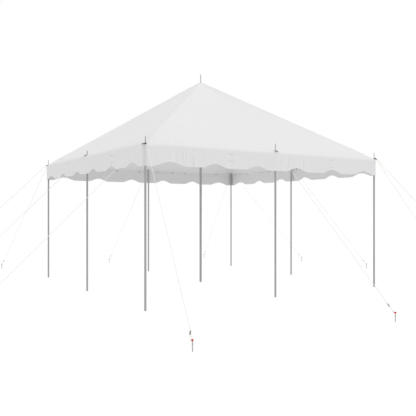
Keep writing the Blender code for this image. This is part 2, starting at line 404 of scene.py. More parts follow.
# Webbing sizes, used by its material and its model
evenRings = (-2.06, -1.6, -1.14, -0.69, -0.23, 0.23, 0.69, 1.14, 1.6, 2.06)
tape = {
    "step": 0.05, "low": 2.236, "high": 2.27, "thick": 0.0022,
    "gap": 0.0022,  # clear of the fabric's folds
    "edge": 0.0005,
    "thread": 0.0075,  # height of the bluer thread along the upper edge
    "ripple": 0.0006, "rippleScale": 6, "rippleFade": 0.1,
    "rings": {  # places along each wall, from left to right as seen from outside
        "front": evenRings,
        "right": (-2.08, -1.6, -1.12, -0.63, -0.14, 0.33, 0.79, 1.12, 1.64, 2.125),
        "back": (-1.86, -1.42, -0.98, -0.645, -0.25, 0.21, 0.77, 1.22, 1.66, 2.1),
        "left": evenRings,
    },
    "ringZ": 2.264,
    "ring": {"major_radius": 0.0115, "minor_radius": 0.002, "major_segments": 20, "minor_segments": 8},
    "ringClear": 0.0024,  # of the ring's middle from the band
    "ringFlat": 0.006325,  # height in the ring where its upper side turns flat
    "ringSquash": 0.3, "clip": (0.026, 0.0045, 0.009), "clipEdge": 0.0016,
    "clipZ": 2.271,
}

# Materials


def grain(place, scale, detail=3.0, stretch=(1, 1, 1)):
    # noise on the piece's own coordinates, stretched along a grain
    mapping = addNode(place.id_data, "Mapping", {"Vector": place, "Scale": stretch})
    values = {"Vector": mapping.outputs[0], "Scale": scale, "Detail": detail}
    return addNode(place.id_data, "TexNoise", values).outputs["Fac"]


def threads(place, direction, scale, distortion):
    values = {"Vector": place, "Scale": scale, "Distortion": distortion, "Detail": 1.0}
    kind = {"wave_type": "BANDS", "bands_direction": direction}
    return addNode(place.id_data, "TexWave", values, **kind).outputs["Fac"]


def blend(amount, first, second):
    return addNode(amount.id_data, "Mix", {0: amount, 6: first, 7: second}, data_type="RGBA").outputs[2]


def bump(shader, height, distance, strength):
    # bumps add up when called again on the same shader
    made = addNode(shader.id_data, "Bump", {"Height": height, "Distance": distance, "Strength": strength})
    normal = shader.inputs["Normal"]
    if normal.is_linked:
        fill(made, {"Normal": normal.links[0].from_socket})
    fill(shader, {"Normal": made.outputs[0]})


fabricLooks = {  # colour, and whether the cloth hangs
    "roofOuter": ((0.8, 0.8, 0.8), False),
    "valanceOuter": ((0.8, 0.8, 0.8), True),
    "roofInner": ((0.8, 0.8, 0.802), False),
    "valanceInner": ((0.795, 0.795, 0.797), True),
    "hemFabric": ((0.818, 0.818, 0.818), True),
}
weave = {
    "shader": {"Specular IOR Level": 0.35, "Sheen Weight": 0.05},
    "rough": (0.52, 0.64),
    "threads": (0.31416 / 0.0018, 0.4),  # scale of waves 1.8 mm apart, and their wander
    "speckleScale": 55.0,
    "speckle": 0.034,  # share of the colour
    "cloudScale": 1.3, "cloud": 0.004,
    "threadBump": (0.0001, 0.6),  # height and strength
    "speckleBump": (0.0008, 0.5), "hangBump": (0.001, 0.5),
    "hangStretch": (9.0, 9.0, 1.2),
    "creaseShade": 0.12,  # painted shade: colour taken off along a sharp crease and a sharp fold's steep side
}


def makeFabric(name):
    (colour, hangs), s = fabricLooks[name], weave
    shader, solid = startMaterial(name, s["shader"])
    speck = grain(solid, s["speckleScale"], 2.0)
    deep, pale = ([part * (1 + way * s["speckle"]) for part in colour] for way in (-1, 1))
    fine = blend(between(speck), deep, pale)
    shade = between(grain(solid, s["cloudScale"]), 1 - s["cloud"], 1 + s["cloud"])
    if hangs:
        # the crease attribute is painted shade, laid along creases and the steep sides of sharp folds,
        # which darkens the hanging cloth's colour
        wearAndPaintedShade = addNode(shader.id_data, "Attribute", attribute_name="crease").outputs["Fac"]
        shade = mathNode("MULTIPLY", shade, between(wearAndPaintedShade, 1.0, 1 - s["creaseShade"], 0.0, 1.0))
    scaled = addNode(shader.id_data, "VectorMath", {0: fine, "Scale": shade}, operation="SCALE")
    fill(shader, {"Base Color": scaled.outputs[0], "Roughness": between(speck, *s["rough"])})
    crossed = [threads(solid.node.outputs["UV"], way, *s["threads"]) for way in ("X", "Y")]
    bump(shader, mathNode("MULTIPLY", *crossed), *s["threadBump"])
    bump(shader, speck, *s["speckleBump"])
    if hangs:
        bump(shader, grain(solid, 1.0, 2.0, s["hangStretch"]), *s["hangBump"])


metalLooks = {  # grey at its darkest and lightest, share of metal, roughness
    "poleMetal": ((0.398, 0.474), 0.25, (0.42, 0.58)),
    "pinMetal": ((0.3, 0.38), 0.4, (0.34, 0.5)),
    "pegSteel": ((0.4, 0.56), 0.5, (0.32, 0.5)),
    "ringSteel": ((0.33, 0.43), 0.4, (0.3, 0.48)),
}
drawn = {"specular": 0.3, "streaks": 260.0, "along": (1, 1, 0.03), "patches": 9.0, "bump": (0.00012, 0.5)}


def makeMetal(name):
    # drawn metal: streaks along Z, a faint mottle and a few duller patches
    (greys, metallic, rough), s = metalLooks[name], drawn
    shader, solid = startMaterial(name, {"Metallic": metallic, "Specular IOR Level": s["specular"]})
    streak = grain(solid, s["streaks"], stretch=s["along"])
    patch = grain(solid, s["patches"], 4.0)
    mixed = between(mathNode("MULTIPLY", mathNode("ADD", streak, patch), 0.5))
    colour = blend(mixed, *((grey, grey, grey * 1.01) for grey in greys))
    fill(shader, {"Base Color": colour, "Roughness": between(patch, *rough)})
    bump(shader, streak, *s["bump"])


ropeLook = {
    "shader": {"Roughness": 0.82, "Specular IOR Level": 0.2, "Sheen Weight": 0.15},
    "pale": (0.94, 0.935, 0.865), "dull": (0.91, 0.905, 0.83),
    "valleys": (0.88, 0.87, 0.79), "soiled": (0.46, 0.45, 0.42), "soil": 0.75,
    "soilTop": (0.082, 0.094),  # heights between which the soil ends
    "fibreScale": 900.0, "soilScale": 14.0, "bump": (0.0003, 0.6),
}


def makeCord(name):
    # pale cord, soiled on its lashing near the ground
    s = ropeLook
    shader, solid = startMaterial(name, s["shader"])
    fibre = grain(solid, s["fibreScale"], 2.0)
    soil = grain(solid, s["soilScale"])
    clean = blend(between(soil), s["pale"], s["dull"])
    fresh = blend(between(fibre, 0.0, 0.3), clean, s["valleys"])
    low = between(heightIn(solid), s["soil"], 0.0, *s["soilTop"])
    patchy = mathNode("MULTIPLY", low, between(soil, 0.8))
    fill(shader, {"Base Color": blend(patchy, fresh, s["soiled"])})
    bump(shader, fibre, *s["bump"])


plasticLooks = {  # clean and scuffed
    "sleeveRubber": ((0.02, 0.02, 0.018), (0.055, 0.055, 0.05)),
    "runnerPlastic": ((0.15, 0.15, 0.14), (0.23, 0.23, 0.22)),
}
plastic = {
    "rough": (0.42, 0.62), "pores": 1400.0, "scuffs": 120.0,
    "wearAndPaintedShade": (0.45, 0.75), "bump": (0.0002, 0.4),
}


def makePlastic(name):
    s = plastic
    shader, solid = startMaterial(name, {})
    scuff = grain(solid, s["scuffs"], 4.0)
    colour = blend(between(scuff, 0.0, 1.0, *s["wearAndPaintedShade"]), *plasticLooks[name])
    fill(shader, {"Base Color": colour, "Roughness": between(scuff, *s["rough"])})
    bump(shader, grain(solid, s["pores"], 2.0), *s["bump"])


redLook = {
    "specular": 0.12, "rough": (0.4, 0.56), "deep": (0.6, 0.005, 0.027),
    "fresh": (0.69, 0.009, 0.038), "scuffed": (0.66, 0.3, 0.33), "scuffs": 0.45,
    "scuffZ": (0.1205, 0.124),  # heights over which the scuffs come in
    "chipped": (0.5, 0.66), "chipScale": 420.0, "bump": (0.0003, 0.5),
}


def makePaint(name):
    # deep red, scuffed paler round the rim where the peg is driven
    s = redLook
    shader, solid = startMaterial(name, {"Specular IOR Level": s["specular"]})
    chips = grain(solid, s["chipScale"], 4.0)
    top = between(heightIn(solid), 0.0, s["scuffs"], *s["scuffZ"])
    wearAndPaintedShade = mathNode("MULTIPLY", between(chips, 0.0, 1.0, *s["chipped"]), top)
    colour = blend(wearAndPaintedShade, blend(between(chips), s["deep"], s["fresh"]), s["scuffed"])
    fill(shader, {"Base Color": colour, "Roughness": between(chips, *s["rough"])})
    bump(shader, chips, *s["bump"])


tapeLook = {
    "shader": {"Roughness": 0.78, "Specular IOR Level": 0.25},
    "wearAndPaintedShade": (0.8, 0.798, 0.825), "pale": (0.84, 0.838, 0.862),
    "thread": (0.835, 0.838, 0.88), "threadBlend": 0.0015,
    "ribs": (110.0, 0.6),  # scale and wander
    "wearScale": 30.0, "bump": (0.0005, 0.6),
}


def makeWoven(name):
    # flat woven tape, pale lavender with a bluer thread along its upper edge
    s = tapeLook
    shader, solid = startMaterial(name, s["shader"])
    threadLow = tape["high"] - tape["thread"]
    edge = between(heightIn(solid), 0.0, 1.0, threadLow, threadLow + s["threadBlend"])
    pale = blend(between(grain(solid, s["wearScale"])), s["wearAndPaintedShade"], s["pale"])
    fill(shader, {"Base Color": blend(edge, pale, s["thread"])})
    bump(shader, threads(solid, "DIAGONAL", *s["ribs"]), *s["bump"])


makers = ((makeFabric, fabricLooks), (makeMetal, metalLooks), (makePlastic, plasticLooks))
makers += ((makeCord, ["twistedRope"]), (makePaint, ["redPaint"]), (makeWoven, ["wovenTape"]))
for maker, names in makers:
    for name in names:
        maker(name)
print("materials made:", len(materials))


# Canopy: roof, soft eave and scalloped valance in one sheet

# Folds: place along the wall at top and foot, half width, depth, lowest and highest Z
folds = {
    "front": [
        (-2.12, -2.125, 0.011, 0.0014, 2.12, 2.26), (-1.836, -1.842, 0.011, -0.0028, 2.05, 2.26),
        (-1.68, -1.722, 0.01, 0.0037, 2.1, 2.25), (-1.645, -1.672, 0.01, 0.005, 2.03, 2.26),
        (-1.735, -1.74, 0.012, -0.002, 2.12, 2.25), (-1.512, -1.524, 0.01, 0.0058, 2.02, 2.19),
        (-1.33, -1.335, 0.011, 0.0008, 2.04, 2.26), (-0.125, -0.128, 0.012, 0.0022, 2.14, 2.26),
        (-0.076, -0.078, 0.012, 0.0018, 2.12, 2.26), (-0.002, -0.004, 0.012, 0.0026, 2.14, 2.27),
        (0.24, 0.236, 0.016, -0.003, 2.08, 2.26), (0.362, 0.358, 0.013, 0.0022, 2.06, 2.25),
        (0.408, 0.402, 0.013, 0.0024, 2.05, 2.2), (0.548, 0.544, 0.016, -0.0034, 2.04, 2.24),
        (1.95, 1.95, 0.014, 0.0018, 2.14, 2.26), (2.03, 2.03, 0.014, 0.0016, 2.12, 2.26),
    ],
    "left": [
        (1.83, 1.825, 0.013, 0.0024, 2.05, 2.26), (1.75, 1.748, 0.012, 0.0022, 2.06, 2.25),
        (1.4, 1.395, 0.012, 0.0018, 2.05, 2.25), (0.3, 0.3, 0.014, 0.0022, 2.05, 2.25),
        (0.16, 0.16, 0.014, 0.0022, 2.05, 2.26),
    ],
}
# shade, fullShade, flank and flankWidth set the painted shade on a sharp fold's steep side
foldShape = {
    "sharp": 0.018, "fullShade": 0.005, "flank": 0.7,
    "flankWidth": 0.5, "shade": 0.22, "footZ": 2.02,
    "height": 0.25, "fadeFoot": 0.03, "fadeTop": 0.06,
    "reach": 3,  # half widths
}
# Short level creases: place along the wall, height, strength
creases = {
    "front": [(-0.894, 2.22, 1.0), (-0.894, 2.117, 0.9), (1.18, 2.232, 0.7), (1.19, 2.113, 0.5)],
    "left": [(1.18, 2.213, 1.3), (1.175, 2.117, 1.1), (-0.947, 2.229, 1.0)],
}
# over also sets how wide the painted shade along a crease is
creaseShape = {"halfLength": 0.085, "over": 0.0055, "under": 0.013, "depth": 0.007}
hemMark = 2  # material number of the hem's faces until the hem is made
hemFold = {"thickness": 0.0026, "offset": -0.7}
ripples = {
    "seed": 7, "perWall": 9, "within": 2.1,
    "lean": 0.03, "depth": (0.0012, 0.003), "top": (2.18, 2.27),
    "width": (0.022, 0.04), "drift": 0.0045, "driftScale": 1.7, "driftApart": 9.7,
    "hangOver": 0.18,  # height over which the drift grows to its full depth
    "stillEnds": 0.1,  # length by a corner over which all folds die away
}


def archRise(x, wall):
    # rise of the scalloped edge over its lowest line
    s = canopy
    rise = s["archRise"]
    x -= s["archShift"].get(wall, 0.0)
    for middle, width in s["arches"]:
        away = abs(abs(x) - middle)
        half = (width + s["archGrow"].get(wall, 0.0)) / 2
        if away < half:
            flank = atan(s["archSteepness"] * rise / half)
            radius = (half * tan(flank) - rise) / (1 / cos(flank) - 1)
            if away < radius * sin(flank):
                return rise - radius + sqrt(radius**2 - away**2)
            return (half - away) * tan(flank)
    return 0.0


def hemZ(x, wall):
    steps = (-1.0, -0.5, 0.0, 0.5, 1.0)
    rise = sum(archRise(x + step * canopy["archSoften"], wall) for step in steps) / len(steps)
    start, end = canopy["footDrop"].get(wall, (0.0, 0.0))
    return valanceLowZ + rise - start - (end - start) * (x + eaveHalf) / (2 * eaveHalf)


def closeSpans(wall):
    # the parts of a wall that are crossed by folds and creases
    reach = creaseShape["halfLength"]
    spans = [(row[0] - reach, row[0] + reach) for row in creases.get(wall, [])]
    for row in folds.get(wall, []):
        spans.append((min(row[:2]) - 2 * row[2], max(row[:2]) + 2 * row[2]))
    return spans


def wallColumns(wall, half):
    # places across a wall, closer where it is creased, with one at each arch's ends and crown
    s, spans = canopy, closeSpans(wall)
    marks = {-half, half}
    for middle, width in s["arches"]:
        for place in (middle, middle - width / 2, middle + width / 2):
            marks |= {place, -place}
    marks |= {max(-half, min(half, place)) for span in spans for place in span}
    kept = []
    for mark in sorted(marks):
        if not kept or mark - kept[-1] > s["closeStep"] / 2:
            kept.append(mark)
    kept[-1] = half
    columns = []
    for start, end in zip(kept, kept[1:]):
        close = any(low <= (start + end) / 2 <= high for low, high in spans)
        count = max(1, round((end - start) / s["closeStep" if close else "plainStep"]))
        columns += [start + (end - start) * i / count for i in range(count)]
    return columns + [half]


def canopyRows():
    # rings from hem to peak: half width, corner radius, height, length along the sheet, and the
    # share of the hem's height that is added to it, none from the eave on
    s = canopy
    corner, fold = s["cornerRadius"], s["eaveRadius"]
    wall = (eaveHalf, corner)
    turn = radians(90) - atan(slope)
    bendZ = eaveZ - fold * tan(turn / 2)
    rows = [(*wall, height, 0.0, 1.0) for height in s["hemHeights"]]
    for i in range(1, s["valanceRows"]):
        share = i / s["valanceRows"]
        rows.append((*wall, bendZ * share + s["hemHeights"][-1] * (1 - share), 0.0, 1 - share))
    for i in range(s["eaveRows"] + 1):
        angle = turn * i / s["eaveRows"]
        half = eaveHalf - fold * (1 - cos(angle))
        rows.append((half, corner, bendZ + fold * sin(angle), fold * angle, 0.0))
    bendHalf, length = half, fold * turn
    for i in range(1, s["roofRows"] + 1):
        climb = 1 - (1 - i / s["roofRows"]) ** s["peakCrowd"]
        half = bendHalf + (s["peakHole"] - bendHalf) * climb
        run = length + (bendHalf - half) * hypot(1, slope)
        grow = smoothStep((eaveHalf - half) / s["hipGrow"])
        radius = min(corner + (s["hipRadius"] - corner) * grow, s["hipPeakShare"] * half)
        rows.append((half, radius, peakZ - slope * half, run, 0.0))
    return rows, bendZ


def roofShift(x, half, radius, reach):
    # what the rounded hips, a panel's sag and the eave's droop add to the roof's height
    s = canopy
    climb = (eaveHalf - half) / eaveHalf
    rise = smoothStep(reach) * smoothStep(climb / s["hipStart"])
    shift = rise * s["hipLift"] * slope * radius * (1 - 1 / sqrt(2))
    shift -= s["panelSag"] * sin(pi * climb) * (1 - (x / half) ** 2)
    nearEave = exp(-climb / s["droopReach"])
    return shift - s["eaveDroop"] * nearEave * sin(pi * abs(x) / eaveHalf) ** 2


def makeQuarter(wall, rows, bendZ):
    # a wall with its roof panel, made as the front one, from a grid laid over the rings
    s = canopy
    eighth = radians(45)
    wallHalf = eaveHalf - s["cornerRadius"]
    columns = wallColumns(wall, wallHalf)
    across = len(columns) + 2 * s["cornerSteps"]
    grid = bpy.ops.mesh.primitive_grid_add
    quarter = add(grid, x_subdivisions=across - 1, y_subdivisions=len(rows) - 1, size=2)
    flat = []
    for index, vertex in enumerate(quarter.data.vertices):
        half, radius, z, length, hang = rows[index // across]
        straight = half - radius
        step = index % across - s["cornerSteps"]
        past = max(-step, step - len(columns) + 1)  # steps into a corner
        if past > 0:
            way = -1 if step < 0 else 1
            angle = eighth * past / s["cornerSteps"]
            x = way * (straight + radius * sin(angle))
            y = -straight - radius * cos(angle)
            along = way * (straight + radius * angle)
            lowZ = hemZ(way * eaveHalf, wall)
        else:
            x = along = columns[step] * straight / wallHalf
            y = -half
            lowZ = hemZ(columns[step], wall)
        if hang:
            z += lowZ * hang
            length = z - bendZ
        elif half < eaveHalf:
            z += roofShift(x, half, radius, abs(along) / (straight + radius * eighth))
        vertex.co = (x, y, z)
        flat.append((along, length))
    layer = quarter.data.uv_layers.active.data
    for loop in quarter.data.loops:
        layer[loop.index].uv = flat[loop.vertex_index]
    for name in ("roofOuter", "valanceOuter", "roofInner", "valanceInner"):
        quarter.data.materials.append(materials[name])
    for index, face in enumerate(quarter.data.polygons):
        row = index // (across - 1)
        face.material_index = 1 if rows[row][-1] else 0
        if row < len(s["hemHeights"]) - 1:
            face.material_index = hemMark
    return quarter


def wallOf(point):
    # the wall of a point, its place from left to right as seen from outside, and the way out
    if abs(point.y) >= abs(point.x):
        wall = "front" if point.y < 0 else "back"
    else:
        wall = "right" if point.x > 0 else "left"
    out = {"front": (0, -1), "right": (1, 0), "back": (0, 1), "left": (-1, 0)}[wall]
    return wall, out[0] * point.y - out[1] * point.x, Vector((*out, 0))


def makeRipples():
    # faint upright ripples for each wall, the same on every run
    s = ripples
    rng = random.Random(s["seed"])
    made = {wall: list(folds.get(wall, [])) for wall in wallNames}
    for wall in wallNames:
        for _ in range(s["perWall"]):
            at = rng.uniform(-s["within"], s["within"])
            lean = rng.uniform(-s["lean"], s["lean"])
            depth = rng.choice((-1, 1)) * rng.uniform(*s["depth"])
            top = rng.uniform(*s["top"])
            width = rng.uniform(*s["width"])
            made[wall].append((at, at + lean, width, depth, foldShape["footZ"], top))
    return made


def foldDepth(along, z, rows):
    # depth of the folds at a point, and the shade painted on their steep side
    depth = shade = 0.0
    s = foldShape
    for top, foot, width, reach, lowZ, highZ in rows:
        middle = foot + (top - foot) * (z - s["footZ"]) / s["height"]
        away = (along - middle) / width
        if abs(away) > s["reach"]:
            continue
        fade = smoothStep((z - lowZ) / s["fadeFoot"] + 1) * smoothStep((highZ - z) / s["fadeTop"])
        depth += reach * exp(-away * away) * fade
        # painted shade on the steep side of a sharp fold
        if width < s["sharp"]:
            side = (away + copysign(s["flank"], reach)) / s["flankWidth"]
            strong = min(1.0, abs(reach) / s["fullShade"])
            shade += s["shade"] * strong * exp(-side * side) * fade
    return depth, shade


def creaseDepth(along, z, rows):
    # the cloth steps in under a level crease and comes back lower down
    s = creaseShape
    depth = shade = 0.0
    for middle, height, strength in rows:
        away = abs(along - middle) / s["halfLength"]
        if away < 1:
            taper = strength * (1 - away * away)
            rise = (z - height) / (s["over"] if z > height else s["under"])
            depth -= s["depth"] * exp(-rise * rise) * taper
            # painted shade along the crease line
            rise = (z - height) / s["over"]
            shade += exp(-rise * rise) * taper
    return depth, shade


def shapeWalls(piece, eaveTop):
    s = ripples
    rows = makeRipples()
    # painted shade, kept per point in the crease attribute: how much folds and creases darken the valance's
    # colour
    wearAndPaintedShade = piece.data.attributes.new("crease", "FLOAT", "POINT").data
    for vertex in piece.data.vertices:
        point = vertex.co
        if point.z > eaveTop:
            continue
        wall, along, outward = wallOf(point)
        hang = smoothStep((eaveTop - point.z) / s["hangOver"])
        spot = Vector((along * s["driftScale"], wallNames.index(wall) * s["driftApart"], 0.3))
        foldIn, foldShade = foldDepth(along, point.z, rows[wall])
        creaseIn, creaseShade = creaseDepth(along, point.z, creases.get(wall, []))
        depth = s["drift"] * noise.noise(spot) * hang + foldIn + creaseIn
        wearAndPaintedShade[vertex.index].value = min(1.0, foldShade + creaseShade)
        vertex.co = point + outward * depth * smoothStep((eaveHalf - abs(along)) / s["stillEnds"])


def makeCanopy():
    rows, bendZ = canopyRows()
    quarters = []
    for i, wall in enumerate(wallNames):
        turn = (0, 0, radians(90 * i))
        quarters.append(settle(makeQuarter(wall, rows, bendZ), "quarter_" + wall, rotation_euler=turn))
    sheet = joinPieces(quarters, "canopy_sheet")
    editAll(sheet)
    bpy.ops.mesh.remove_doubles(threshold=0.0002)
    endEdit()
    shapeWalls(sheet, bendZ)
    settleCloth(sheet)
    return sheet


def makeHem(sheet):
    # the lowest band of the valance, folded over and slightly thicker
    band = copyOf(sheet)
    editOnly(band, "FACE", lambda face: face.material_index != hemMark)
    bpy.ops.mesh.delete(type="FACE")
    leaveEdit()
    modify(band, "SOLIDIFY", **hemFold)
    smooth(band, 50)
    return settle(band, "valance_hem")


sheet = makeCanopy()
hem = makeHem(sheet)

for face in sheet.data.polygons:
    if face.material_index == hemMark:
        face.material_index = 1
modify(sheet, "SOLIDIFY", thickness=canopy["thick"], offset=-1, material_offset=2)
smooth(sheet, 50)
valances = ["valance_" + wall for wall in wallNames]
hand(sheet, ["roof_panel_" + wall for wall in wallNames] + valances)
finishPiece(hem, "hemFabric", valances)
print("canopy finished:", len(sheet.data.polygons), "faces")


# Poles with their pins, and an eyelet in the fabric round each pin

poleShape = {
    "side": (0.016, 0.0055),  # radius of the pole and of its pin
    "centre": (0.0225, 0.007), "sides": 40, "footWall": 0.0018,
    "footDepth": 0.03, "edge": 0.001, "plugDrop": 0.004,
    "plugRise": 0.007,  # of the plug's cone, up to the fabric
    "pinTip": 0.0012, "tipShare": 0.62, "cornerDrop": 0.014,
    "pinMore": {  # length of a pin over that of its solid
        "centre": -0.01, "front_mid": 0.028, "front_right": 0.01,
        "front_left": -0.006, "left_mid": -0.005, "back_left": 0.006,
    },
}
eyelet = {
    "inner": 0.0072, "outer": 0.015, "rise": 0.0016, "sides": 28, "overCloth": 0.0004,
    "cornerLean": 0.62,  # share of the roof's slope
    "peakDrop": 0.006, "peakScale": 1.15,
}


def poleRings(radius, pinRadius, topZ, pinTopZ):
    s = poleShape
    inner, edge = radius - s["footWall"], s["edge"]
    shoulder, pinZ = topZ - s["plugDrop"], topZ + s["plugRise"]
    rings = [(inner, s["footDepth"]), (inner, 0.0), (radius - edge, 0.0), (radius, edge)]
    rings += [(radius, topZ / 3), (radius, 2 * topZ / 3), (radius, shoulder)]
    rings += [(radius - edge, shoulder + edge), (radius - 2 * edge, topZ), (pinRadius + edge, pinZ)]
    rings += [(pinRadius, pinZ + edge), (pinRadius, pinTopZ - s["pinTip"])]
    return rings + [(pinRadius * s["tipShare"], pinTopZ)]


def poleTopOf(node, centre, radius):
    # height of the pole's shoulder, from the widest points of its solid
    points = [vertex.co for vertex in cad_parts[node].data.vertices]
    return max(p.z for p in points if hypot(p.x - centre.x, p.y - centre.y) > radius * 0.9)


def makePole(node, place, size, lower):
    s = poleShape
    radius, pinRadius = s[size]
    at = standOf(node)
    drop = sag(at.x, at.y)
    topZ = poleTopOf(node, at, radius) - lower - drop
    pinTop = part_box(node)[1].z - drop + s["pinMore"].get(place, 0.0)
    pole = ringShape("pole", poleRings(radius, pinRadius, topZ, pinTop), s["sides"])
    settle(pole, "pole_" + place, location=at)
    smooth(pole, 35)
    finishPiece(pole, "poleMetal", [node])
    pole.data.materials.append(materials["pinMetal"])
    for face in pole.data.polygons:
        face.material_index = 1 if face.center.z > topZ + s["plugRise"] else 0
    return pole


def makeEyelet(at, tilt, scale=1.0):
    # a rolled metal ring pressed into the fabric
    s = eyelet
    inner, outer, rise = s["inner"] * scale, s["outer"] * scale, s["rise"]
    rings = [(inner, -rise), (outer * 0.96, -rise), (outer, -rise * 0.4), (outer * 0.94, rise * 0.3)]
    rings += [((outer + inner) / 2, rise), (inner * 1.06, rise * 0.7), (inner, 0.0)]
    made = settle(ringShape("eyelet", rings, s["sides"]), "eyelet", rotation_euler=tilt, location=at)
    smooth(made, 60)
    return made


sides = namesAfter("side_pole_")
poles = [makePole("centre_pole", "centre", "centre", 0.0)]
for place in sides:
    lower = 0.0 if "mid" in place else poleShape["cornerDrop"]
    poles.append(makePole("side_pole_" + place, place, "side", lower))
eyelets = []
for place in sides:
    at = standOf("side_pole_" + place)
    onX, onY = round(at.x / eaveHalf), round(at.y / eaveHalf)
    lean = atan(slope) * (eyelet["cornerLean"] if onX and onY else 1.0)
    at.z = fabricTop(at.x, at.y) + eyelet["overCloth"]
    eyelets.append(makeEyelet(at, (-lean * onY, lean * onX, 0)))
eyelets.append(makeEyelet((0, 0, peakZ - eyelet["peakDrop"]), (0, 0, 0), eyelet["peakScale"]))
rings = joinPieces(eyelets, "fabric_eyelets")
finishPiece(rings, "pinMetal", [])
print("poles and eyelets made")


# Webbing inside the eave, with its rings


def makeRings(wall, faceY):
    # D rings, each held by a small clip
    s = tape
    made, flat = [], s["ringFlat"]
    for x in s["rings"][wall]:
        at = (x, faceY + s["ringClear"], s["ringZ"])
        ring = add(bpy.ops.mesh.primitive_torus_add, location=at, rotation=upright, **s["ring"])
        for vertex in ring.data.vertices:  # a flat upper side makes it a D
            if vertex.co.y > flat:
                vertex.co.y = flat + (vertex.co.y - flat) * s["ringSquash"]
        clip = makeBox("clip", s["clip"], (x, faceY + s["clip"][1] / 2, s["clipZ"]))
        made += [ring, modify(clip, "BEVEL", width=s["clipEdge"], segments=2)]
    return joinPieces(made, "rings_" + wall)


def makeTape(wall, turn):
    s = tape
    straight = eaveHalf - canopy["cornerRadius"]
    radius = canopy["cornerRadius"] - canopy["thick"] - s["gap"] - s["thick"] / 2
    bend = radius * radians(45)
    size = (2 * (straight + bend), s["thick"], s["high"] - s["low"])
    band = makeBox("webbing_" + wall, size, (0, 0, (s["low"] + s["high"]) / 2))
    cuts = [-straight + i * s["step"] for i in range(round(2 * straight / s["step"]) + 1)]
    cuts += [way * (straight + bend * i / 4) for way in (-1, 1) for i in (1, 2, 3)]
    editAll(band, "FACE")
    for place in cuts:
        bpy.ops.mesh.select_all(action="SELECT")
        bpy.ops.mesh.bisect(plane_co=(place, 0, 0), plane_no=(1, 0, 0))
    leaveEdit()
    for vertex in band.data.vertices:
        x, y, z = vertex.co
        reach = radius - y
        if abs(x) <= straight:
            wave = noise.noise(Vector((x * s["rippleScale"], 1.7, 0)))
            wave *= s["ripple"] * smoothStep((straight - abs(x)) / s["rippleFade"])
            vertex.co = (x, -straight - reach + wave, z)
        else:
            angle = (abs(x) - straight) / radius
            across = straight + reach * sin(angle)
            vertex.co = (copysign(across, x), -straight - reach * cos(angle), z)
    modify(band, "BEVEL", width=s["edge"], segments=1, limit_method="ANGLE")
    ring = makeRings(wall, s["thick"] / 2 - straight - radius)
    for piece, material, slot in ((band, "wovenTape", "webbing"), (ring, "ringSteel", "peg_steel")):
        settle(piece, piece.name, rotation_euler=(0, 0, turn))
        settleCloth(piece)
        smooth(piece, 45)
        finishPiece(piece, material, ["eave_webbing_" + wall])
    return band


tapes = [makeTape(wall, radians(90 * i)) for i, wall in enumerate(wallNames)]
print("webbing made")


# Guy ropes with sleeves and runners, and pegs

ropeShape = {
    "radius": 0.0033, "lobes": 3, "lobePoints": 3, "valley": 0.84, "pitch": 0.027,
    "lineSteps": 6,  # rings to a twist on the long run
    "coilSteps": 16,  # and where the rope turns tightly
    "eyeRadius": 0.0099, "eyeOverCloth": 0.0095,
    "eyeStep": 0.0085,  # of a second eye on the same pin
    "eyeMore": {"front_mid": 0.01, "front_right": 0.008},
    "eyeTilt": 0.42,  # fall of the eye towards the peg, over its run
    "bendReach": 0.058,  # end of the sleeve, out from the pin
    "bendZ": 2.3015, "sleeveFrom": 0.0125, "sleeveWidth": 0.008, "sleeveThick": 0.0058,
    "sleeveMore": 0.003,  # length beyond the bend
    "sleeveSides": 20,
    "grips": (  # the sleeve's outline: shares of its width and length
        (0.8, 0.0), (1.0, 0.03), (1.0, 0.16), (0.88, 0.21), (0.88, 0.33), (1.0, 0.39), (1.0, 0.6),
        (0.88, 0.66), (0.88, 0.78), (0.98, 0.84), (0.95, 0.97), (0.7, 1.0),
    ),
    "runnerFromPeg": 0.14,
    "runnerNearer": {"front_left_to_front": 0.035},
    "runnerSize": (0.015, 0.005, 0.053),
    "runnerRound": 0.46,  # share of its width
    "runnerEdge": 0.0006,
    "holeReach": 0.33,  # of the runner's length, from its middle to a hole
    "drill": {"vertices": 18, "radius": 0.0046, "depth": 0.03},
    "neckZ": 0.097,  # where the rope passes round the peg
    "coilRadius": 0.0077,
    "lashing": {"turns": 4, "top": 0.0865, "low": 0.0585, "tuck": 0.45},
    "squash": 0.42, "squashReach": 0.022, "squashFade": 0.009, "squashTop": 0.14,
    "knot": {"radius": 0.0056, "start": -60, "turn": 430, "steps": 20, "over": 0.0048, "rise": 0.0045},
}
pegShape = {
    "radius": 0.0055, "neckZ": 0.101, "topZ": 0.1205, "headRadius": 0.0155, "sides": 28,
    "shaft": ((0.92, 0), (1, 0.0008), (1, 0.03), (1, 0.052), (1, 0.084), (1, 0.104), (0.8, 0.105)),
    "collar": ((1.04, 0.0), (1.25, 0.001)),  # shares of the radius, and heights over the neck
    "cup": ((0.54, 0.0055), (0.76, 0.0105)),
    "rim": ((0.98, -0.0045), (1.0, -0.0022), (0.94, -0.0004), (0.6, 0.0008), (0.2, 0.0014)),
}


def arc(centre, outward, side, radius, start, turn, steps, rise=0.0, tilt=0.0):
    # points round a pin or a peg; an angle of 0 is outward, the height falls with the tilt
    points = []
    for i in range(steps + 1):
        angle = radians(start + turn * i / steps)
        spoke = outward * cos(angle) + side * sin(angle)
        points.append(centre + spoke * radius + up * (rise * i / steps - tilt * radius * cos(angle)))
    return points


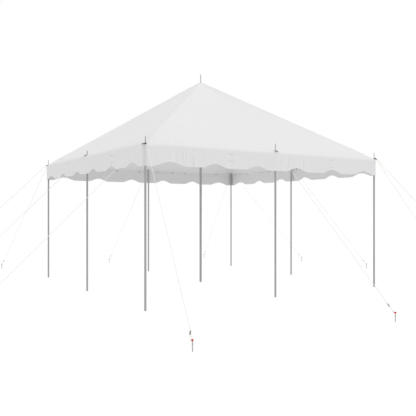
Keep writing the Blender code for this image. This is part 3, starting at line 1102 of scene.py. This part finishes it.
def ropeRoute(label, pole, peg, upper, tilt):
    # round the pin, through the sleeve and runner, round the peg and back
    s = ropeShape
    outward = (peg - pole).normalized()
    side = up.cross(outward)
    more = s["eyeMore"].get(label.split("_to_")[0], 0.0)
    eyeZ = fabricTop(pole.x, pole.y) + s["eyeOverCloth"] + more + (s["eyeStep"] if upper else 0.0)
    pin = pole + up * eyeZ
    bendZ = s["bendZ"] - sag(pole.x, pole.y) + lift(pole.x, pole.y) + more
    bend = pole + up * bendZ + outward * s["bendReach"]
    mouth = pin + (outward - up * s["eyeTilt"]) * s["sleeveFrom"]
    neck, coil = peg + up * s["neckZ"], s["coilRadius"]
    nearest = neck - outward * coil
    down = (nearest - bend).normalized()
    runner = nearest - down * (s["runnerFromPeg"] - s["runnerNearer"].get(label, 0.0))
    turn = radians(tilt)
    barWay = down * cos(turn) + side * sin(turn)
    barSide = side * cos(turn) - down * sin(turn)
    face = barWay.cross(barSide)  # square to the runner's flat side
    hole = s["runnerSize"][2] * s["holeReach"]
    high, foot = runner - barWay * hole, runner + barWay * hole
    half = side * s["radius"]
    eye = [mouth.lerp(bend, 0.7) - half * 0.5, mouth - half * 1.05]
    eye += arc(pin, outward, side, s["eyeRadius"], -60, -240, 18, tilt=s["eyeTilt"])
    eye += [mouth + half * 1.05, mouth.lerp(bend, 0.8) + half * 0.5]
    line = [mouth.lerp(bend, 0.6), bend, bend + down * 0.02, bend.lerp(high, 0.5)]
    line += [high - down * 0.04 + face * 0.001, high - down * 0.01 + face * 0.0045, high]
    end = [high, high + down * 0.012 - face * 0.006, high + down * 0.034 - face * 0.0055]
    end += [neck + side * coil - outward * 0.02 + up * 0.016]
    end += arc(neck, outward, side, coil, 90, -180, 16)
    end += [neck - side * coil - outward * 0.02 + up * 0.014]
    end += [foot + down * 0.02 + face * 0.004, foot + down * 0.004 + face * 0.0045, foot]
    knot = s["knot"]
    for i in range(knot["steps"] + 1):  # a stopper, coiled flat behind the runner
        share = i / knot["steps"]
        angle = radians(knot["start"] + knot["turn"] * share)
        spoke = barSide * cos(angle) + barWay * sin(angle)
        reach = knot["radius"] * min(1.0, 0.2 + 3 * share)
        end.append(foot + spoke * reach - face * (knot["over"] + knot["rise"] * share))
    routes = (eye, end, lashingRoute(peg, outward, side))
    return line, routes, (mouth, bend, side), (runner, barWay, barSide)


def lashingRoute(peg, outward, side):
    # tight turns under the neck, with both ends tucked in
    s = ropeShape["lashing"]
    top, low, steps = peg + up * s["top"], peg + up * s["low"], 18 * s["turns"]
    turn, fall = -360 * s["turns"], s["low"] - s["top"]
    route = arc(top, outward, side, ropeShape["coilRadius"], 150, turn, steps, rise=fall)
    return [top.lerp(route[0], s["tuck"]), *route, low.lerp(route[-1], s["tuck"])]


def eased(points):
    # corners cut off twice, so that the rope bends smoothly
    for _ in range(2):
        cut = [points[0]]
        for a, b in zip(points, points[1:]):
            cut += [a.lerp(b, 0.25), a.lerp(b, 0.75)]
        points = cut + [points[-1]]
    return points


def tighten(rope, peg):
    # presses the turns flat against the peg
    s = ropeShape
    inner = s["coilRadius"] - s["radius"]
    start = pegShape["radius"] + 0.0001
    for vertex in rope.data.vertices:
        away = Vector((vertex.co.x - peg.x, vertex.co.y - peg.y, 0))
        reach = away.length
        if reach > s["squashReach"] or vertex.co.z > s["squashTop"]:
            continue
        pressed = start + (reach - inner) * s["squash"]
        wanted = reach + (pressed - reach) * smoothStep((s["squashReach"] - reach) / s["squashFade"])
        spot = away.normalized() * max(wanted, start)
        vertex.co.x, vertex.co.y = peg.x + spot.x, peg.y + spot.y


def makeRope(points, steps):
    # a twisted cord, screwed up along Z and bent along its route
    s = ropeShape
    points = eased(points)
    length = sum((b - a).length for a, b in zip(points, points[1:]))
    turns = round(length / s["pitch"])
    count = s["lobes"] * s["lobePoints"]
    rope = add(bpy.ops.mesh.primitive_circle_add, vertices=count, radius=s["radius"], fill_type="NOTHING")
    for i in range(0, count, s["lobePoints"]):
        rope.data.vertices[i].co *= s["valley"]
    twist = {"axis": "Z", "angle": tau, "screw_offset": length / turns, "iterations": turns}
    twist |= {"steps": steps, "render_steps": steps, "use_merge_vertices": False}
    modify(rope, "SCREW", use_normal_calculate=True, **twist)
    line = bpy.data.curves.new("route", "CURVE")
    line.dimensions = "3D"
    spline = line.splines.new("POLY")
    spline.points.add(len(points) - 1)
    for knot, point in zip(spline.points, points):
        knot.co = (*point, 1)
    route = bpy.data.objects.new("route", line)
    bpy.context.scene.collection.objects.link(route)
    modify(rope, "CURVE", object=route, deform_axis="POS_Z")
    remove(route)
    editAll(rope)
    bpy.ops.mesh.fill_holes(sides=0)
    endEdit()
    smooth(rope, 75)
    return rope


def makeSleeve(label, mouth, bend, side):
    s = ropeShape
    wide, length = s["sleeveWidth"], (bend - mouth).length + s["sleeveMore"]
    rings = [(wide * share, length * place) for share, place in s["grips"]]
    sleeve = ringShape("sleeve_" + label, rings, s["sleeveSides"])
    for vertex in sleeve.data.vertices:
        vertex.co.y *= s["sleeveThick"] / wide
    placeAlong(sleeve, mouth, bend - mouth, side)
    smooth(sleeve, 50)
    finishPiece(sleeve, "sleeveRubber", ["guy_rope_" + label])


def makeRunner(label, at, barWay, barSide):
    # a flat bar with two holes, held aslant by the pull of the rope
    s = ropeShape
    wide, length = s["runnerSize"][0], s["runnerSize"][2]
    bar = makeBox("runner_" + label, s["runnerSize"])
    points = bar.data.vertices  # the edges to round run from one side of the bar to the other
    editOnly(bar, "EDGE", lambda edge: len({points[i].co.y > 0 for i in edge.vertices}) == 2)
    bpy.ops.mesh.bevel(offset=wide * s["runnerRound"], segments=5)
    for way in (-1, 1):
        spot = (0, 0, way * length * s["holeReach"])
        drill = add(bpy.ops.mesh.primitive_cylinder_add, location=spot, rotation=upright, **s["drill"])
        modify(bar, "BOOLEAN", operation="DIFFERENCE", object=drill)
        remove(drill)
    modify(bar, "BEVEL", width=s["runnerEdge"], segments=2, limit_method="ANGLE")
    placeAlong(bar, at, barWay, barSide)
    smooth(bar, 35)
    finishPiece(bar, "runnerPlastic", ["guy_rope_" + label])


def makePegParts():
    s = pegShape
    shaft = ringShape("shaft", profile(s["radius"], 0.0, s["shaft"]), s["sides"])
    rings = profile(s["radius"], s["neckZ"], s["collar"]) + profile(s["headRadius"], s["neckZ"], s["cup"])
    head = ringShape("head", rings + profile(s["headRadius"], s["topZ"], s["rim"]), s["sides"])
    smooth(shaft, 40)
    smooth(head, 50)
    return shaft, head


shaftPattern, headPattern = makePegParts()
pegSeed, tiltMost, leanMost = 11, 14, 6  # the last two in degrees, of runners and heads not named below
rng = random.Random(pegSeed)
runnerTilts = {"front_left_to_front": -19, "front_mid": 3}
pegShifts = {"front_left_to_front": Vector((0.0038, -0.0024, 0.0)), "front_mid": Vector((0.007, 0.0, 0.0))}
headTilts = {"front_left_to_front": (3.54, 14)}  # its axis in radians, and the lean in degrees
for label in namesAfter("peg_"):
    pole = standOf("side_pole_" + label.split("_to_")[0])
    peg = standOf("peg_" + label) + pegShifts.get(label, Vector())
    tilt = runnerTilts.get(label, rng.uniform(-tiltMost, tiltMost))
    upper = label.endswith(("_to_front", "_to_back"))
    line, routes, sleeve, runner = ropeRoute(label, pole, peg, upper, tilt)
    lengths = [makeRope(line, ropeShape["lineSteps"])]
    lengths += [makeRope(route, ropeShape["coilSteps"]) for route in routes]
    rope = joinPieces(lengths, "rope_" + label)
    tighten(rope, peg)
    smooth(rope, 75)
    finishPiece(rope, "twistedRope", ["guy_rope_" + label])
    makeSleeve(label, *sleeve)
    makeRunner(label, *runner)
    way, lean = headTilts.get(label, (rng.uniform(0, tau), rng.uniform(0, leanMost)))
    turn = Matrix.Rotation(radians(lean), 4, Vector((cos(way), sin(way), 0)))
    neck = Matrix.Translation((0, 0, pegShape["neckZ"]))
    stand = Matrix.Translation(peg)
    shaft = settle(copyOf(shaftPattern), "shaft_" + label, matrix_world=stand)
    head = settle(copyOf(headPattern), "head_" + label, matrix_world=stand @ neck @ turn @ neck.inverted())
    finishPiece(shaft, "pegSteel", ["peg_" + label])
    finishPiece(head, "redPaint", ["peg_" + label])
remove(shaftPattern)
remove(headPattern)
print("guy ropes and pegs made")
